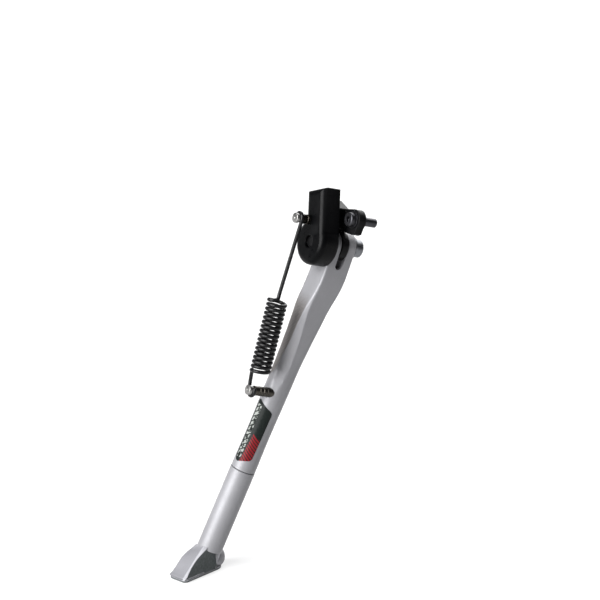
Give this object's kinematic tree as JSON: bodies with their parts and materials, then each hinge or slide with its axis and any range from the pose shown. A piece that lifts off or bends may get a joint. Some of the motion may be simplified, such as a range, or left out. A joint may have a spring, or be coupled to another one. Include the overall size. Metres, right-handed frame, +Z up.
{
  "type": "kickstand",
  "caption": "Folding motorcycle side stand: clevis arm and foot on a bolt-on pivot bracket, held over centre by a hooked coil spring.",
  "frame": {"origin": "on the bracket's inboard mounting face, midway between the two frame bolts", "axes": "+X to the rear of the vehicle, +Y towards its middle, +Z up with the stand deployed and its sole level"},
  "size_m": [0.1076, 0.1682, 0.3523],
  "materials": {
    "black_coat": "satin black powder coat",
    "black_steel": "black oxide steel",
    "dark_steel": "dark zinc plated steel",
    "bronze": "sintered bronze",
    "turned_steel": "turned plated steel",
    "blasted_aluminium": "fine blasted and clear anodised",
    "cast_aluminium": "fine blasted",
    "decal_film": null,
    "spring_wire": "black coated spring wire"
  },
  "bodies": {
    "bracket": {"bracket": "black_coat", "frame_bolt_rear": "black_steel", "frame_bolt_front": "black_steel", "frame_washer_rear": "black_steel", "frame_washer_front": "black_steel", "pivot_bolt": "dark_steel", "pivot_washer": "dark_steel", "lug_bush": "bronze", "upper_spring_post": "turned_steel"},
    "leg": {"leg_arm": "blasted_aluminium", "lower_leg": "blasted_aluminium", "shoe": "cast_aluminium", "sole_plate": "cast_aluminium", "joint_pin": "dark_steel", "ear_bush_outboard": "bronze", "ear_bush_inboard": "bronze", "lower_spring_post": "turned_steel", "decal": "decal_film"},
    "spring_top": {"spring_upper_hook": "spring_wire", "spring_coil": "spring_wire"},
    "spring_bottom": {"spring_lower_hook": "spring_wire"}
  },
  "joints": [
    {"name": "leg_pivot", "type": "hinge", "parent": "bracket", "child": "leg", "pos_m": [0.00021, -0.01118, -0.02022], "axis": [-0.2677, -0.9154, 0.3007], "range_deg": [0, 100], "deforming": ["spring_coil"]},
    {"name": "upper_hook_turn", "type": "hinge", "parent": "bracket", "child": "spring_top", "pos_m": [-0.01851, -0.04054, 0.00809], "axis": [-0.2677, -0.9154, 0.3007], "range_deg": [0, 89.31]},
    {"name": "lower_hook_turn", "type": "hinge", "parent": "leg", "child": "spring_bottom", "pos_m": [-0.03312, -0.08618, -0.14383], "axis": [-0.2677, -0.9154, 0.3007], "range_deg": [-10.71, 0]}
  ],
  "couplings": [
    {"joint": "upper_hook_turn", "follows": "leg_pivot", "ratio": 0.89303},
    {"joint": "lower_hook_turn", "follows": "leg_pivot", "ratio": -0.10697}
  ]
}
